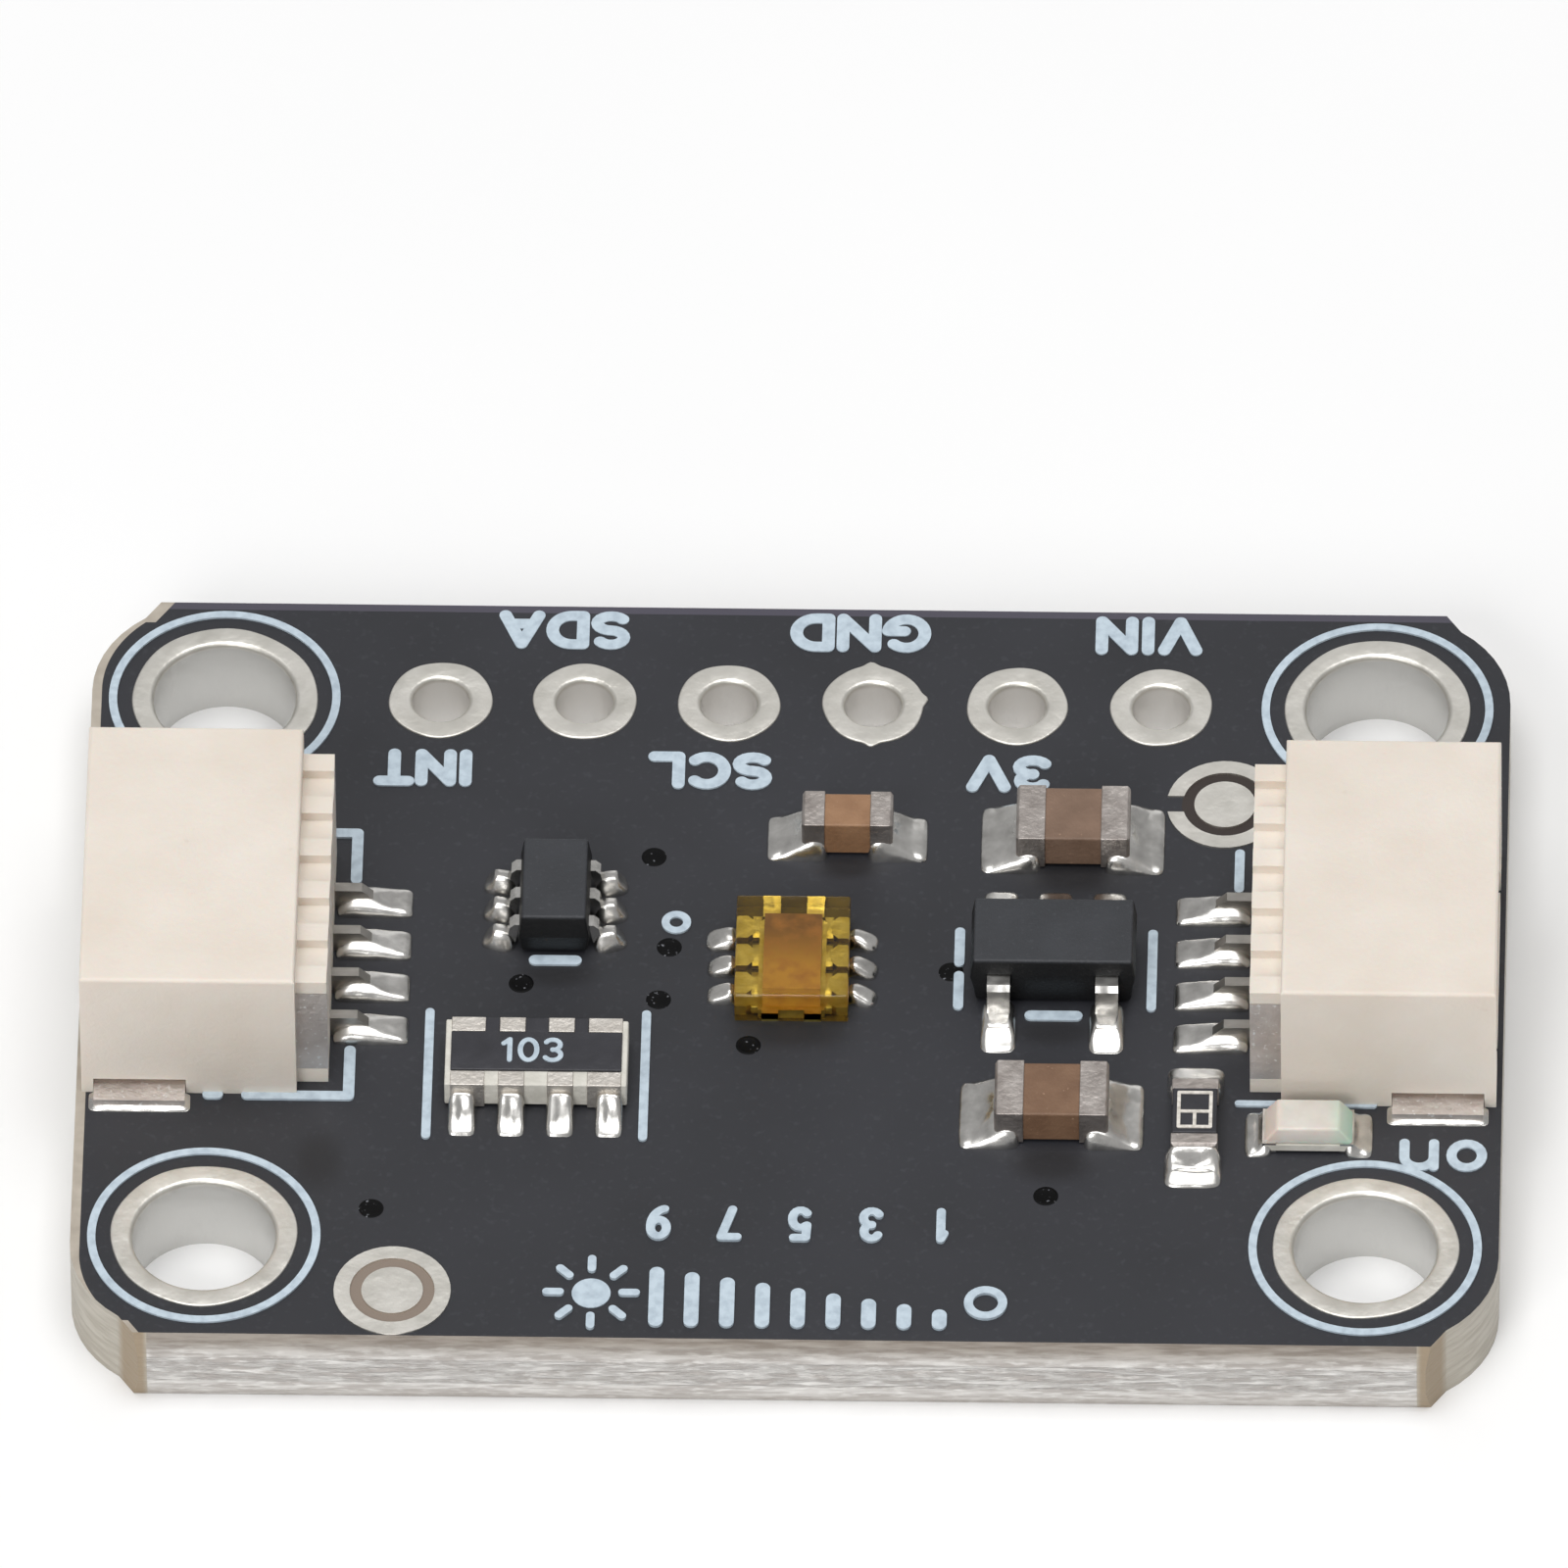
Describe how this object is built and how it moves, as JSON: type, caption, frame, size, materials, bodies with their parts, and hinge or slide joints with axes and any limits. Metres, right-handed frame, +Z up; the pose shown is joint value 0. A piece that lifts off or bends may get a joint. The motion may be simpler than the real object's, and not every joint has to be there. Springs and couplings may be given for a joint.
{
  "type": "light sensor module",
  "caption": "Small circuit board with a clear light sensor chip in its middle, a side entry wire socket at each short side, plated header holes and plated corner mounting holes.",
  "frame": {"origin": "middle of the board's underside, which is also the middle of the mounting hole pattern", "axes": "+X to the right along the board's long side, +Y towards the row of header holes, +Z up out of the face that carries the parts"},
  "size_m": [0.025, 0.0176, 0.0046],
  "materials": {
    "masked_laminate": "matte charcoal solder mask over glass laminate, bare laminate at the edges",
    "tinned_copper": "satin tin over copper",
    "ivory_nylon": "fine matte moulded nylon",
    "tinned_contact": "satin tin over phosphor bronze",
    "gilt_frame": "bright gilt copper",
    "sensor_silicon": "polished silicon under a colour filter",
    "clear_epoxy": "clear yellowish epoxy",
    "black_epoxy": "fine matte moulded epoxy",
    "capacitor_ceramic": "matte tan barium titanate",
    "white_alumina": "matte white alumina",
    "black_glass_coat": "satin printed glass",
    "lamp_laminate": "pale laminate",
    "milky_resin": "milky moulded resin",
    "gilt_ends": "gilt copper",
    "tinned_ends": "matte tin plate",
    "solder": "bright reflowed tin solder"
  },
  "bodies": {
    "root": {"circuit_board": "masked_laminate", "near_left_mounting_hole_plating": "tinned_copper", "near_right_mounting_hole_plating": "tinned_copper", "far_left_mounting_hole_plating": "tinned_copper", "far_right_mounting_hole_plating": "tinned_copper", "header_hole_plating_1": "tinned_copper", "header_hole_plating_2": "tinned_copper", "header_hole_plating_3": "tinned_copper", "header_hole_plating_4": "tinned_copper", "header_hole_plating_5": "tinned_copper", "header_hole_plating_6": "tinned_copper", "near_left_fiducial": "tinned_copper", "far_right_fiducial": "tinned_copper", "right_socket_housing": "ivory_nylon", "right_socket_contact_1": "tinned_contact", "right_socket_contact_2": "tinned_contact", "right_socket_contact_3": "tinned_contact", "right_socket_contact_4": "tinned_contact", "right_socket_near_solder_tab": "tinned_contact", "right_socket_far_solder_tab": "tinned_contact", "left_socket_housing": "ivory_nylon", "left_socket_contact_1": "tinned_contact", "left_socket_contact_2": "tinned_contact", "left_socket_contact_3": "tinned_contact", "left_socket_contact_4": "tinned_contact", "left_socket_near_solder_tab": "tinned_contact", "left_socket_far_solder_tab": "tinned_contact", "sensor_lead_frame": "gilt_frame", "sensor_die": "sensor_silicon", "sensor_package": "clear_epoxy", "regulator_leads": "tinned_contact", "regulator_body": "black_epoxy", "shifter_leads": "tinned_contact", "shifter_body": "black_epoxy", "far_capacitor_body": "capacitor_ceramic", "far_capacitor_terminals": "tinned_ends", "near_capacitor_body": "capacitor_ceramic", "near_capacitor_terminals": "tinned_ends", "small_capacitor_body": "capacitor_ceramic", "small_capacitor_terminals": "tinned_ends", "led_resistor_body": "white_alumina", "led_resistor_terminals": "tinned_ends", "led_resistor_coat": "black_glass_coat", "resistor_array_body": "white_alumina", "resistor_array_terminals": "tinned_ends", "resistor_array_coat": "black_glass_coat", "led_base": "lamp_laminate", "led_terminals": "gilt_ends", "led_lens": "milky_resin", "far_capacitor_solder": "solder", "near_capacitor_solder": "solder", "small_capacitor_solder": "solder", "led_resistor_solder": "solder", "led_solder": "solder", "resistor_array_solder": "solder", "regulator_solder": "solder", "shifter_solder": "solder", "sensor_solder": "solder", "right_socket_solder": "solder", "left_socket_solder": "solder"}
  },
  "joints": []
}
